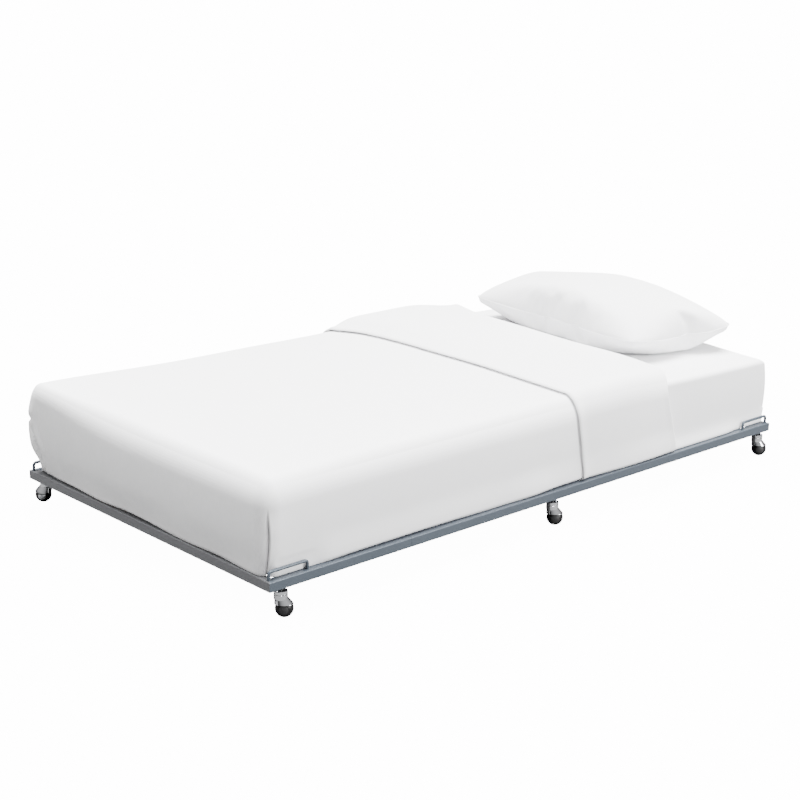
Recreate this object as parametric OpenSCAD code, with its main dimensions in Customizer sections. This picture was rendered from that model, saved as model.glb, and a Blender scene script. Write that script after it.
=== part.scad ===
// Trundle bed: a square-tube steel frame on six swivelling ball casters, with its bedding.
// Millimetres. +X runs from the foot to the head, +Y from the near side to the far side,
// +Z up. The origin is the centre of the footprint, on the floor.

/* [Frame] */
// Distance from each end of the mattress to the end of the frame
end_margin = 12.5; // [12:0.5:60]
// Room between the mattress and each side rail
side_room = 5; // [2:0.5:20]
// Outside size of the square tube
tube = 25; // [20:1:40]
// Wall of the square tube
tube_wall = 1.5; // [1:0.25:2.5]
// Outside corner radius of the square tube
tube_r = 2.5; // [2:0.5:4]
// Length of the side rails' foot section
foot_section_l = 440; // [300:10:600]
// Length of the side rails' head section
head_section_l = 490; // [300:10:600]
// Seam between two rail sections
seam = 0.6; // [0.2:0.2:2]

/* [Rail joints] */
// Length of the sleeve beyond each joint bolt
sleeve_end = 31; // [15:1:60]
// Slip clearance round the sleeve
sleeve_gap = 0.2; // [0.1:0.05:0.5]
// Wall of the sleeve
sleeve_wall = 1.5; // [1:0.25:2.5]
// Distance of each joint bolt from the seam
bolt_offset = 44; // [20:1:55]
// Shank radius of a joint bolt
bolt_r = 3; // [2.5:0.5:4]
// Clearance of the bolt in its holes
bolt_gap = 0.1; // [0.05:0.05:0.4]
// Height of a bolt head
bolt_head_h = 3.5; // [2:0.5:5]
// Height of a weld nut
nut_h = 5; // [4:0.5:7]

/* [Slats] */
// Number of slats
slat_count = 9; // [4:1:10]
// Width of a slat
slat_w = 30; // [20:1:50]
// Height of a slat
slat_h = 12; // [8:1:20]
// Wall of a slat
slat_wall = 1.2; // [0.8:0.1:2]

/* [Mattress stops] */
// Diameter of the stop's round rod
stop_rod = 8; // [6:0.5:10]
// Length of a stop over its two legs
stop_l = 122; // [80:1:200]
// Height of a stop above the rail
stop_h = 25; // [20:1:60]
// Bend radius at the rod's centre line
stop_bend = 8; // [6:0.5:12]
// Distance of a stop from the end of the frame
stop_inset = 3; // [0:1:30]

/* [Casters] */
// Radius of the ball wheel
ball_r = 22; // [20:0.5:26]
// Running gap between ball and hood
ball_gap = 0.4; // [0.3:0.1:1]
// Wall of the hood
hood_wall = 1.6; // [1.4:0.1:2.5]
// Distance from swivel axis to ball centre
trail = 8; // [6:0.5:10]
// Tilt of the wheel's axle, lower at the open side
axle_tilt = 0; // [0:1:6]
// Tilt of the hood's rim, higher at the open side
rim_tilt = 6; // [0:1:12]
// Height of the hood's rim plane above the ball centre
rim_h = 10.5; // [8:0.5:12]
// Half width of the hood's leg, which holds the axle
leg_r = 9.5; // [8:0.5:12]
// Outside radius of the hood's collar
collar_r = 16.5; // [15:0.5:18]
// Wall of the collar's cup
collar_wall = 2.6; // [2:0.2:3.5]
// Height of the collar
collar_h = 20; // [18:0.5:24]
// Depth of the cup in the collar
cup_d = 9; // [7:0.5:10]
// Radius of the caster stem
stem_r = 4; // [3.5:0.5:5]
// Radius of the wheel's axle
axle_r = 2.5; // [2:0.25:3]
// Radial clearance of a running fit
running_gap = 0.06; // [0.02:0.01:0.1]
// Gap between the top of the collar and the rail
rail_gap = 6; // [5:0.5:12]
// Distance of the socket's top below the inside of the rail
socket_room = 5.5; // [3:0.5:10]
// Radius of the hub cap
cap_r = 12; // [9:0.5:14]
// Depth of the hub cap's seat in the ball
seat_d = 7; // [6:0.5:8]
// Distance of the end casters from the end of the frame
caster_inset = 42; // [40:1:120]
// Direction in which a near-side caster trails
near_turn = -43; // [-180:1:180]
// Direction in which a far-side caster trails
far_turn = 137; // [-180:1:180]

/* [Bedding] */
// Length of the mattress
mattress_l = 1905; // [1480:5:2200]
// Width of the mattress
mattress_w = 980; // [700:5:1540]
// Thickness of the mattress
mattress_h = 205; // [100:5:300]
// Rounding of the mattress's corners in plan
mattress_r = 40; // [20:5:80]
// Rounding of the mattress's top and bottom edges
mattress_edge_r = 25; // [10:5:50]
// Thickness of the fitted sheet
sheet_t = 2; // [1:0.5:3]
// Thickness of the duvet on top
duvet_t = 24; // [10:1:50]
// Thickness of the duvet where it is tucked at the sides
duvet_side_t = 9; // [5:0.5:9]
// Extra thickness at the sides where the duvet is doubled
band_side_t = 5; // [2:0.5:6]
// Distance from the head of the frame to the duvet's folded edge
fold_l = 460; // [430:5:600]
// Length of the band that is folded back
band_l = 408; // [200:4:500]
// Size of the pillow along the bed
pillow_l = 400; // [350:5:420]
// Size of the pillow across the bed
pillow_w = 720; // [450:5:740]
// Thickness of the pillow
pillow_h = 145; // [100:5:180]
// Offset of the pillow towards the far side
pillow_y = 30; // [-40:5:40]
// Gap between pieces that only lie on each other
lay_gap = 0.3; // [0.2:0.1:1]

/* [Hidden] */
$fn = 48;
frame_l = mattress_l + 2 * end_margin;
frame_w = mattress_w + 2 * (side_room + tube);
half_l = frame_l / 2;
half_w = frame_w / 2;
// Centre line of a side rail, and of an end rail
side_y = half_w - tube / 2;
end_x = half_l - tube / 2;
// Overshoot of a cutting solid
over = 1;

// Caster levels, upwards from the floor
hood_r = ball_r + ball_gap + hood_wall;
collar_z = ball_r + hood_r;
collar_top = collar_z + collar_h;
cup_z = collar_top - cup_d;
rail_z = collar_top + rail_gap;
rail_top = rail_z + tube;

// Seams of the side rails
foot_seam_x = foot_section_l - half_l;
head_seam_x = half_l - head_section_l;
sleeve_l = 2 * (bolt_offset + sleeve_end);
sleeve = tube - 2 * (tube_wall + sleeve_gap);
sleeve_r = tube_r - tube_wall;
// Levels up a rail joint: the sleeve's inner floor, and the tip of a bolt
sleeve_floor_z = rail_z + tube_wall + sleeve_gap + sleeve_wall;
bolt_tip_z = sleeve_floor_z + nut_h + bolt_r / 2;
bolt_head_r = 1.8 * bolt_r;
nut_r = 1.9 * bolt_r;

// Slats
slat_len = frame_w - 2 * tube;
slat_pitch = (frame_l - 2 * tube) / slat_count;

// Blind bore that the stem turns in, the washer on the cup's floor, and the stem's flange
bore_z = collar_z + 1.5;
stem_z = bore_z + 1;
washer_z = cup_z + lay_gap;
washer_h = 1.5;
washer_r = 9;
flange_h = 2.5;
flange_r = 7.5;
// Socket that the stem is pressed into
socket_r = stem_r + 2;
socket_flange_r = socket_r + 3;
socket_flange_h = 1.5;
socket_top = rail_top - tube_wall - socket_room;
stem_top = socket_top - 2;

// Distances along the wheel's axle from the ball's centre, positive at the open side
ball_flat = -(ball_r - 3);
boss_end = ball_flat - lay_gap;
boss_r = 5;
head_r = 4;
head_t = 1.2;
seat = ball_r - seat_d;
swage_t = 1;
swage_r = 4;
swage_room = 0.4;
cap_gap = 0.1;
cap_sphere_r = ball_r - 0.6;

// Bedding levels
bed_z = rail_top + lay_gap;
sheet_top = bed_z + mattress_h + sheet_t;
duvet_z = bed_z + 1;

// Folded edge and hem of the duvet, along the bed
fold_x = half_l - fold_l;
hem_x = fold_x - band_l;
pillow_r = 66;
pillow_edge_r = pillow_h / 2 - 7;

// Each caster: name, position along the bed, side, direction of trail
CASTERS = [
    for (side = [-1, 1])
        for (place = [["foot", caster_inset - half_l], ["mid", 0], ["head", half_l - caster_inset]])
            [str(side < 0 ? "near_" : "far_", place[0]), place[1], side, side < 0 ? near_turn : far_turn]
];
// Each side rail section: name, start, end, mitre at its start, mitre at its end
SECTIONS = [
    ["foot", -half_l, foot_seam_x - seam / 2, true, false],
    ["mid", foot_seam_x + seam / 2, head_seam_x - seam / 2, false, false],
    ["head", head_seam_x + seam / 2, half_l, false, true]
];
SIDES = [["near", -1], ["far", 1]];
ENDS = [["foot", -1], ["head", 1]];
SEAMS = [["foot", foot_seam_x], ["head", head_seam_x]];

// ---- shared shapes ----

// Square with true round corners, centred
module round_square(size, r) {
    w = size - 2 * r;
    square([size, w], center = true);
    square([w, size], center = true);
    for (x = [-1, 1])
        for (y = [-1, 1])
            translate([x * w / 2, y * w / 2])
                circle(r);
}

// Square tube along +X from x = 0, centred on the axis
module square_tube(length, size, wall, r) {
    rotate([90, 0, 90])
        linear_extrude(length)
            difference() {
                round_square(size, r);
                round_square(size - 2 * wall, max(r - wall, 0.5));
            }
}

// Rectangle with true round corners, centred
module round_rect(w, h, r) {
    square([w, h - 2 * r], center = true);
    square([w - 2 * r, h], center = true);
    for (x = [-1, 1])
        for (y = [-1, 1])
            translate([x * (w / 2 - r), y * (h / 2 - r)])
                circle(r);
}

// Block with every edge rounded, centred in plan, standing on z = 0
module soft_block(l, w, h, r, edge_r) {
    translate([0, 0, h / 2])
        intersection() {
            linear_extrude(h + over, center = true)
                round_rect(l, w, r);
            rotate([90, 0, 0])
                linear_extrude(w + over, center = true)
                    round_rect(l, h, edge_r);
            rotate([90, 0, 90])
                linear_extrude(l + over, center = true)
                    round_rect(w, h, edge_r);
        }
}

// ---- frame ----

// Wedge outside the 45 degree mitre at a frame corner, for the rail along X
module mitre_cut() {
    translate([0, 0, rail_z - over])
        linear_extrude(tube + 2 * over)
            polygon([[-over, -over], [tube + over, tube + over], [-over, tube + over]]);
}

// One section of a side rail, from x0 to x1, on the side given by side = -1 or 1
module side_rail(side, x0, x1, mitre0, mitre1) {
    color("slategray")
        difference() {
            translate([x0, side * side_y, rail_z + tube / 2])
                square_tube(x1 - x0, tube, tube_wall, tube_r);
            if (mitre0)
                scale_y(side)
                    translate([x0, -half_w, 0])
                        mitre_cut();
            if (mitre1)
                scale_y(side)
                    translate([x1, -half_w, 0])
                        mirror([1, 0, 0])
                            mitre_cut();
            for (c = CASTERS)
                if (c[2] == side && c[1] > x0 && c[1] < x1)
                    translate([c[1], side * side_y, rail_z - over])
                        cylinder(h = tube_wall + 2 * over, r = socket_r + running_gap);
            joint_holes(side, rail_z, tube_wall);
        }
}

// Mirror across the bed for the far side
module scale_y(side) {
    if (side < 0)
        children();
    else
        mirror([0, 1, 0])
            children();
}

// Bolt holes through one wall at height z, at both joints of one side
module joint_holes(side, z, wall) {
    for (j = SEAMS)
        for (d = [-1, 1])
            translate([j[1] + d * bolt_offset, side * side_y, z - sleeve_gap / 2])
                cylinder(h = wall + sleeve_gap, r = bolt_r + bolt_gap);
}

// Rail across the foot or the head, mitred at both ends; end = -1 or 1
module end_rail(end) {
    color("slategray")
        difference() {
            translate([end * end_x, -half_w, rail_z + tube / 2])
                rotate(90)
                    square_tube(frame_w, tube, tube_wall, tube_r);
            for (side = [-1, 1])
                scale_y(side)
                    end_mitre(end);
        }
}

// Wedge outside the mitre for the rail along Y, at its near end
module end_mitre(end) {
    if (end < 0)
        translate([-half_l, -half_w, 0])
            end_wedge();
    else
        mirror([1, 0, 0])
            translate([-half_l, -half_w, 0])
                end_wedge();
}

module end_wedge() {
    translate([0, 0, rail_z - over])
        linear_extrude(tube + 2 * over)
            polygon([[-over, -over], [tube + over, -over], [tube + over, tube + over]]);
}

// Sleeve inside a rail joint
module rail_sleeve(side, x) {
    color("dimgray")
        difference() {
            translate([x - sleeve_l / 2, side * side_y, rail_z + tube / 2])
                square_tube(sleeve_l, sleeve, sleeve_wall, sleeve_r);
            joint_holes(side, sleeve_floor_z - sleeve_wall, sleeve_wall);
        }
}

// Places of the eight joint bolts
module at_bolts() {
    for (side = [-1, 1])
        for (j = SEAMS)
            for (d = [-1, 1])
                translate([j[1] + d * bolt_offset, side * side_y, 0])
                    children();
}

module joint_bolts() {
    color("gray")
        at_bolts() {
            translate([0, 0, rail_z - bolt_head_h])
                cylinder(h = bolt_head_h, r = bolt_head_r);
            translate([0, 0, rail_z - bolt_head_h / 2])
                cylinder(h = bolt_tip_z - rail_z + bolt_head_h / 2, r = bolt_r);
        }
}

module joint_nuts() {
    color("gray")
        at_bolts()
            translate([0, 0, sleeve_floor_z])
                difference() {
                    cylinder(h = nut_h, r = nut_r, $fn = 6);
                    translate([0, 0, -over])
                        cylinder(h = nut_h + 2 * over, r = bolt_r + running_gap);
                }
}

// One steel slat, butted between the side rails with its top level with theirs
module slat(i) {
    x = tube - half_l + slat_pitch * (i - 0.5);
    color("gray")
        translate([x, 0, rail_top - slat_h / 2])
            rotate([90, 0, 0])
                linear_extrude(slat_len, center = true)
                    difference() {
                        square([slat_w, slat_h], center = true);
                        square([slat_w - 2 * slat_wall, slat_h - 2 * slat_wall], center = true);
                    }
}

// Loop of bent rod that keeps the mattress from sliding off sideways
module mattress_stop(side, end) {
    rod_r = stop_rod / 2;
    top_z = stop_h - rod_r;
    leg0 = half_l - stop_inset - rod_r;
    leg1 = half_l - stop_inset - stop_l + rod_r;
    color("slategray")
        scale_x(end)
            translate([0, side * side_y, rail_top]) {
                for (x = [leg0, leg1])
                    translate([x, 0, 0])
                        cylinder(h = top_z - stop_bend, r = rod_r);
                translate([leg1 + stop_bend, 0, top_z])
                    rotate([0, 90, 0])
                        cylinder(h = leg0 - leg1 - 2 * stop_bend, r = rod_r);
                translate([leg0 - stop_bend, 0, top_z - stop_bend])
                    rod_bend(rod_r);
                translate([leg1 + stop_bend, 0, top_z - stop_bend])
                    mirror([1, 0, 0])
                        rod_bend(rod_r);
            }
}

// Quarter bend of rod from +X up to +Z, in the XZ plane
module rod_bend(rod_r) {
    rotate([90, 0, 0])
        rotate_extrude(angle = 90)
            translate([stop_bend, 0])
                circle(rod_r);
}

// Mirror along the bed for the foot end
module scale_x(end) {
    if (end > 0)
        children();
    else
        mirror([1, 0, 0])
            children();
}

// ---- casters ----

// Places of the six stems, above the floor
module at_stems() {
    for (c = CASTERS)
        translate([c[1], c[2] * side_y, 0])
            children();
}

module caster_sockets() {
    color("dimgray")
        at_stems()
            difference() {
                union() {
                    translate([0, 0, rail_z - socket_flange_h])
                        cylinder(h = socket_flange_h, r = socket_flange_r);
                    translate([0, 0, rail_z - socket_flange_h])
                        cylinder(h = socket_top - rail_z + socket_flange_h, r = socket_r);
                }
                translate([0, 0, rail_z - 2 * socket_flange_h])
                    cylinder(h = tube + 2 * socket_flange_h, r = stem_r + running_gap / 2);
            }
}

module caster_stems() {
    color("silver")
        at_stems() {
            translate([0, 0, stem_z])
                cylinder(h = stem_top - stem_z, r = stem_r);
            translate([0, 0, washer_z + washer_h])
                cylinder(h = flange_h, r = flange_r);
        }
}

module swivel_washers() {
    color("black")
        at_stems()
            translate([0, 0, washer_z])
                difference() {
                    cylinder(h = washer_h, r = washer_r);
                    translate([0, 0, -over])
                        cylinder(h = washer_h + 2 * over, r = stem_r + running_gap);
                }
}

// Put a caster's own frame in place: swivel axis at its origin, trailing along +X,
// the hood's leg at +Y and its open side at -Y
module at_caster(c) {
    translate([c[1], c[2] * side_y, 0])
        rotate(c[3])
            children();
}

// Put +Z on the wheel's axle, with the ball's centre at the origin
module on_axle() {
    translate([trail, 0, ball_r])
        rotate([90 + axle_tilt, 0, 0])
            children();
}

// Cylinder about the axle between two distances from the ball's centre
module along_axle(from, to, r) {
    on_axle()
        translate([0, 0, from])
            cylinder(h = to - from, r = r);
}

// Cone from the ball-shaped lower part up to the collar, tangent to the ball
module hood_shoulder() {
    reach = norm([trail, collar_z - ball_r]);
    lean = atan2(trail, collar_z - ball_r);
    top_r = collar_r - 1;
    touch = atan2(top_r, reach) + acos(hood_r / norm([reach, top_r]));
    touch_h = hood_r * cos(touch);
    translate([trail, 0, ball_r])
        rotate([0, -lean, 0])
            translate([0, 0, touch_h])
                cylinder(h = reach - touch_h, r1 = hood_r * sin(touch), r2 = top_r);
}

// Collar with two ring bands and a narrow waist between them
module hood_collar() {
    waist_h = 1.6;
    waist_z = collar_h - cup_d;
    skirt = 4;
    rotate_extrude()
        polygon([
            [0, -skirt],
            [collar_r - 1.5, -skirt],
            [collar_r, 0],
            [collar_r, waist_z],
            [collar_r - 1, waist_z + waist_h / 2],
            [collar_r, waist_z + waist_h],
            [collar_r, collar_h - 0.8],
            [collar_r - 0.8, collar_h],
            [0, collar_h]
        ]);
}

// Space that the leg takes: a strip with a round end about the axle, on the side at +Y
module hood_leg() {
    along_axle(-2 * hood_r, 0, leg_r);
    translate([trail - leg_r, 0, ball_r])
        cube([2 * leg_r, 2 * hood_r, hood_r]);
}

module caster_hood(c) {
    inner_r = ball_r + ball_gap;
    reach = 2 * hood_r;
    color("gainsboro")
        at_caster(c)
            difference() {
                union() {
                    difference() {
                        union() {
                            translate([trail, 0, ball_r])
                                sphere(hood_r);
                            hood_shoulder();
                            translate([0, 0, collar_z])
                                hood_collar();
                        }
                        translate([trail, 0, ball_r])
                            sphere(inner_r);
                    }
                    intersection() {
                        along_axle(-hood_r, boss_end, boss_r);
                        translate([trail, 0, ball_r])
                            sphere(inner_r + hood_wall / 2);
                    }
                }
                // everything below the rim, except the leg
                difference() {
                    translate([trail, 0, ball_r])
                        rotate([-rim_tilt, 0, 0])
                            translate([-reach, -reach, rim_h - 2 * reach])
                                cube(2 * reach);
                    hood_leg();
                }
                // cup, stem bore, axle hole and the seat of the axle's head
                translate([0, 0, cup_z])
                    cylinder(h = cup_d + over, r = collar_r - collar_wall);
                translate([0, 0, bore_z])
                    cylinder(h = collar_h, r = stem_r + running_gap);
                along_axle(-hood_r - over, ball_flat, axle_r + running_gap / 2);
                along_axle(-hood_r - over, -hood_r + head_t, head_r + running_gap);
            }
}

module wheel_axle(c) {
    color("silver")
        at_caster(c) {
            along_axle(-hood_r + lay_gap, seat + swage_room, axle_r);
            along_axle(-hood_r + lay_gap, -hood_r + head_t, head_r);
            along_axle(seat + swage_room, seat + swage_room + swage_t, swage_r);
        }
}

module ball_wheel(c) {
    color("black")
        at_caster(c)
            difference() {
                translate([trail, 0, ball_r])
                    sphere(ball_r);
                along_axle(-2 * ball_r, 2 * ball_r, axle_r + running_gap);
                along_axle(-2 * ball_r, ball_flat, ball_r);
                along_axle(seat, 2 * ball_r, cap_r + cap_gap);
            }
}

module hub_cap(c) {
    color("silver")
        at_caster(c)
            difference() {
                intersection() {
                    translate([trail, 0, ball_r])
                        sphere(cap_sphere_r);
                    along_axle(seat, ball_r, cap_r);
                }
                along_axle(0, seat + 2 * swage_room + swage_t, swage_r + swage_room);
            }
}

// ---- bedding ----

// The mattress grown by a layer: side at the sides and ends, top above
module bed_block(side, top, z = bed_z) {
    translate([0, 0, z])
        soft_block(
            mattress_l + 2 * side,
            mattress_w + 2 * side,
            bed_z + mattress_h + top - z,
            mattress_r + side,
            mattress_edge_r
        );
}

module mattress() {
    color("whitesmoke")
        bed_block(0, 0);
}

module fitted_sheet() {
    color("white")
        difference() {
            bed_block(sheet_t, sheet_t);
            bed_block(0, 0);
            // the underside, which the sheet's elastic leaves bare
            translate([0, 0, bed_z])
                cube([mattress_l - 2 * mattress_r, mattress_w - 2 * mattress_r, mattress_edge_r], center = true);
        }
}

// Part of a bed-wide layer between two places along the bed
module lengthwise(from, to) {
    intersection() {
        children();
        translate([from, -frame_w, 0])
            cube([to - from, 2 * frame_w, 2 * sheet_top]);
    }
}

module duvet() {
    band_side = sheet_t + duvet_side_t + band_side_t;
    color("white")
        difference() {
            union() {
                lengthwise(-frame_l, fold_x)
                    bed_block(sheet_t + duvet_side_t, sheet_t + duvet_t, duvet_z);
                lengthwise(hem_x, fold_x)
                    bed_block(band_side, sheet_t + 2 * duvet_t, duvet_z);
            }
            bed_block(sheet_t, sheet_t);
        }
}

module pillow() {
    color("white")
        translate([half_l - pillow_l / 2 - lay_gap, pillow_y, sheet_top + lay_gap])
            soft_block(pillow_l, pillow_w, pillow_h, pillow_r, pillow_edge_r);
}

// ---- the assembly ----

end_rail(-1);  // foot_rail
end_rail(1);  // head_rail
for (s = SIDES)
    for (r = SECTIONS)
        side_rail(s[1], r[1], r[2], r[3], r[4]);
for (s = SIDES)
    for (j = SEAMS)
        rail_sleeve(s[1], j[1]);
joint_bolts();
joint_nuts();
for (i = [1 : slat_count])
    slat(i);
for (s = SIDES)
    for (e = ENDS)
        mattress_stop(s[1], e[1]);
caster_sockets();
caster_stems();
swivel_washers();
for (c = CASTERS) {
    caster_hood(c);
    wheel_axle(c);
    ball_wheel(c);
    hub_cap(c);
}
mattress();
fitted_sheet();
duvet();
pillow();
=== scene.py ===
import math

import bpy
import numpy as np
from mathutils import Matrix, Vector


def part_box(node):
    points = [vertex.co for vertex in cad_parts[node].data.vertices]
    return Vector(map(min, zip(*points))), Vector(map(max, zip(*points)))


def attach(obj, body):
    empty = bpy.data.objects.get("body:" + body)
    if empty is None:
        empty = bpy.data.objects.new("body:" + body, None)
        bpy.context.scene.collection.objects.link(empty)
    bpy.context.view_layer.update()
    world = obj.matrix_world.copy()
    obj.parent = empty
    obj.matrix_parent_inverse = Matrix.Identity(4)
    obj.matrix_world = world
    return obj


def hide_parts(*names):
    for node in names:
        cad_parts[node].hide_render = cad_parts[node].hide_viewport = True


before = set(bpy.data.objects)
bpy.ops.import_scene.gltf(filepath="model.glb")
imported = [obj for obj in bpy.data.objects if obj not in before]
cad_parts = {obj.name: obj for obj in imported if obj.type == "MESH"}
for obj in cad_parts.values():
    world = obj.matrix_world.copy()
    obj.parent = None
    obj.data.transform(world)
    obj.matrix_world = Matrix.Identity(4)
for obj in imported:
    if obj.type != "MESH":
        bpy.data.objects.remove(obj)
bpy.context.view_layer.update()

bl_info = {
    "name": "Trundle Bed",
    "version": (1, 0, 0),
    "blender": (4, 5, 0),
    "location": "View3D > Sidebar > Trundle Bed",
    "description": "Finishes a steel trundle bed: powder coat, ball casters and white bedding",
    "category": "Object",
}

MM = 0.001


# ---- places, all from the frame ----

def corners(node):
    """Lowest and highest corner of a CAD node, as arrays in metres."""
    low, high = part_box(node)
    return np.array(low), np.array(high)


BED_LOW, BED_HIGH = corners("mattress")
SHEET_LOW, SHEET_HIGH = corners("fitted_sheet")
DUVET_LOW, DUVET_HIGH = corners("duvet")
PILLOW_LOW, PILLOW_HIGH = corners("pillow")
FRAME_END = corners("head_rail")[1][0]
STOP_LOW, STOP_HIGH = corners("mattress_stop_far_head")
STOP_START, STOP_TOP, STOP_INSIDE = STOP_LOW[0], STOP_HIGH[2], STOP_LOW[1] - 1.5 * MM
PILLOW_FRAMES = 13
CASTERS = ("near_foot", "near_mid", "near_head", "far_foot", "far_mid", "far_head")


# ---- settings ----

class BedSettings(bpy.types.PropertyGroup):
    """Sizes of the bedding that a user would change"""
    duvet_crown: bpy.props.FloatProperty(
        name="Duvet crown", description="Rise of the duvet from its edges to its middle",
        default=15 * MM, min=0, max=0.05, subtype="DISTANCE", unit="LENGTH")
    duvet_edge: bpy.props.FloatProperty(
        name="Duvet edge", description="Radius of the duvet's soft edges",
        default=62 * MM, min=0.01, max=0.1, subtype="DISTANCE", unit="LENGTH")
    duvet_ease: bpy.props.FloatProperty(
        name="Duvet ease", description="Depth of the slow waves in the duvet's surface",
        default=3 * MM, min=0, max=0.02, subtype="DISTANCE", unit="LENGTH")
    sheet_edge: bpy.props.FloatProperty(
        name="Sheet edge", description="Radius of the stretched sheet's edges",
        default=13 * MM, min=0.005, max=0.05, subtype="DISTANCE", unit="LENGTH")
    pillow_turn: bpy.props.FloatProperty(
        name="Pillow turn", description="How far the pillow is turned on the bed",
        default=math.radians(6.5), subtype="ANGLE", unit="ROTATION")
    pillow_puff: bpy.props.FloatProperty(
        name="Pillow puff", description="Pressure that fills the pillow",
        default=2, min=0, max=20)


class FinishSettings(bpy.types.PropertyGroup):
    """Colours of the finishes, as sRGB hex values"""
    powder_coat: bpy.props.StringProperty(
        # a lighter, more neutral copy of the frame's coat for the foot and head rails: painted light,
        # standing in for how light falls on the foot side rather than a second real coat
        name="Powder coat", description="Silver-grey coat of the frame", default="#49515A")
    end_coat_painted_light: bpy.props.StringProperty(
        name="End coat", description="Coat of the foot and head rails, a little more neutral",
        default="#626366")
    cotton: bpy.props.StringProperty(
        name="Cotton", description="White of the sheet, duvet and pillowcase", default="#F2F2F3")
    chrome: bpy.props.StringProperty(
        name="Chrome", description="Plating of the hoods", default="#C6C7CA")
    rubber: bpy.props.StringProperty(
        name="Rubber", description="Black of the ball wheels", default="#060607")


class StageSettings(bpy.types.PropertyGroup):
    """Camera and light"""
    camera_place: bpy.props.FloatVectorProperty(
        name="Camera place", description="Where the camera stands",
        default=(-3.0812, -3.1958, 1.524), subtype="TRANSLATION", unit="LENGTH")
    camera_turn: bpy.props.FloatProperty(
        name="Camera turn", description="Heading of the view from the bed's length",
        default=math.radians(46.845), subtype="ANGLE", unit="ROTATION")
    camera_dip: bpy.props.FloatProperty(
        name="Camera dip", description="How far the view looks down",
        default=math.radians(16.254), subtype="ANGLE", unit="ROTATION")
    camera_roll: bpy.props.FloatProperty(
        name="Camera roll", description="Lean of the camera about its view",
        default=math.radians(1.0214), subtype="ANGLE", unit="ROTATION")
    floor_glow: bpy.props.FloatProperty(
        name="Floor glow", description="Brightness of the backlit floor", default=14, min=0, max=50)
    fill: bpy.props.FloatProperty(
        name="Fill", description="Brightness of the white room", default=1.3, min=0, max=10)
    key: bpy.props.FloatProperty(
        name="Key", description="Strength of the overhead key light", default=21, min=0, max=100)
    key_tilt: bpy.props.FloatProperty(
        name="Key tilt", description="Lean of the key light towards the near side; below zero, the far side",
        default=math.radians(-6), subtype="ANGLE", unit="ROTATION")
    key_lean: bpy.props.FloatProperty(
        name="Key lean", description="Lean of the key light towards the head",
        default=math.radians(8), subtype="ANGLE", unit="ROTATION")
    lens: bpy.props.FloatProperty(
        name="Lens", description="Focal length on a 36 mm wide sensor",
        default=73.16, min=10, max=200)


# ---- mesh helpers ----

def spaced(low, high, step, fine=None, reach=0.0, ends=(True, True)):
    """Values from low to high about a step apart, closer together within reach of the chosen ends."""
    fine = fine or step
    values = [low]
    while values[-1] < high:
        here = values[-1]
        near = min(here - low if ends[0] else 9.0, high - here if ends[1] else 9.0)
        blend = min(max((near - reach) / max(reach, step), 0.0), 1.0)
        values.append(here + fine + (step - fine) * blend)
    values = np.array(values)
    return low + (values - low) * (high - low) / (values[-1] - low)


def box_skin(xs, ys, zs, sides):
    """Points and quads over the chosen sides of a box lattice, joined along its edges."""
    index, points, quads = {}, [], []
    nx, ny, nz = len(xs) - 1, len(ys) - 1, len(zs) - 1

    def corner(place):
        if place not in index:
            index[place] = len(points)
            points.append((xs[place[0]], ys[place[1]], zs[place[2]]))
        return index[place]

    layouts = {
        "top": (nx, ny, lambda a, b: (a, b, nz), 1),
        "under": (nx, ny, lambda a, b: (a, b, 0), -1),
        "near": (nx, nz, lambda a, b: (a, 0, b), 1),
        "far": (nx, nz, lambda a, b: (a, ny, b), -1),
        "foot": (ny, nz, lambda a, b: (0, a, b), -1),
        "head": (ny, nz, lambda a, b: (nx, a, b), 1),
    }
    for side in sides:
        na, nb, place, turn = layouts[side]
        for a in range(na):
            for b in range(nb):
                loop = [place(a, b), place(a + 1, b), place(a + 1, b + 1), place(a, b + 1)]
                quads.append([corner(p) for p in loop][::turn])
    return np.array(points), quads, index


def rounded(points, low, high, radius):
    """Points of a box lattice drawn in onto a box with round edges, and their outward directions.
    The radius along each axis may differ, and may change from point to point."""
    radius = np.broadcast_to(radius, points.shape)
    inner = np.clip(points, low + radius, high - radius)
    way = (points - inner) / radius
    way /= np.linalg.norm(way, axis=1)[:, None]
    out = way / radius
    out /= np.linalg.norm(out, axis=1)[:, None]
    return inner + way * radius, out


def bump(distance, width):
    """Bell curve of height 1."""
    return np.exp(-(distance / width) ** 2)


def ramp(value, start, end):
    """Smooth step from 0 at start to 1 at end."""
    t = np.clip((value - start) / (end - start), 0, 1)
    return t * t * (3 - 2 * t)


def waves(points, length, seed, count=7):
    """Slow waves in space, about a length apart, between -1 and 1."""
    draw = np.random.default_rng(seed)
    total = np.zeros(len(points))
    for _ in range(count):
        way = draw.normal(size=3)
        way /= np.linalg.norm(way)
        turns = 2 * math.pi / (length * draw.uniform(0.7, 1.6))
        total += np.sin(points @ way * turns + draw.uniform(0, 2 * math.pi))
    return total / math.sqrt(count * 2)


def rim_of(quads):
    """Directed edges that only one quad uses."""
    edges = set()
    for q in quads:
        for a, b in zip(q, q[1:] + q[:1]):
            edges.add((a, b))
    return [(a, b) for a, b in edges if (b, a) not in edges]


def shell(outer, inner, quads):
    """Closes two skins of the same layout into one solid."""
    n = len(outer)
    faces = [list(q) for q in quads]
    faces += [[n + i for i in reversed(q)] for q in quads]
    faces += [[b, a, n + a, n + b] for a, b in sorted(rim_of(quads))]
    return np.vstack([outer, inner]), faces


def mesh_object(name, points, faces, material):
    """New smooth-shaded mesh object in the scene."""
    mesh = bpy.data.meshes.new(name)
    mesh.from_pydata([tuple(p) for p in points], [], faces)
    mesh.validate()
    mesh.shade_smooth()
    obj = bpy.data.objects.new(name, mesh)
    bpy.context.collection.objects.link(obj)
    obj.data.materials.append(material)
    return obj


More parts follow.
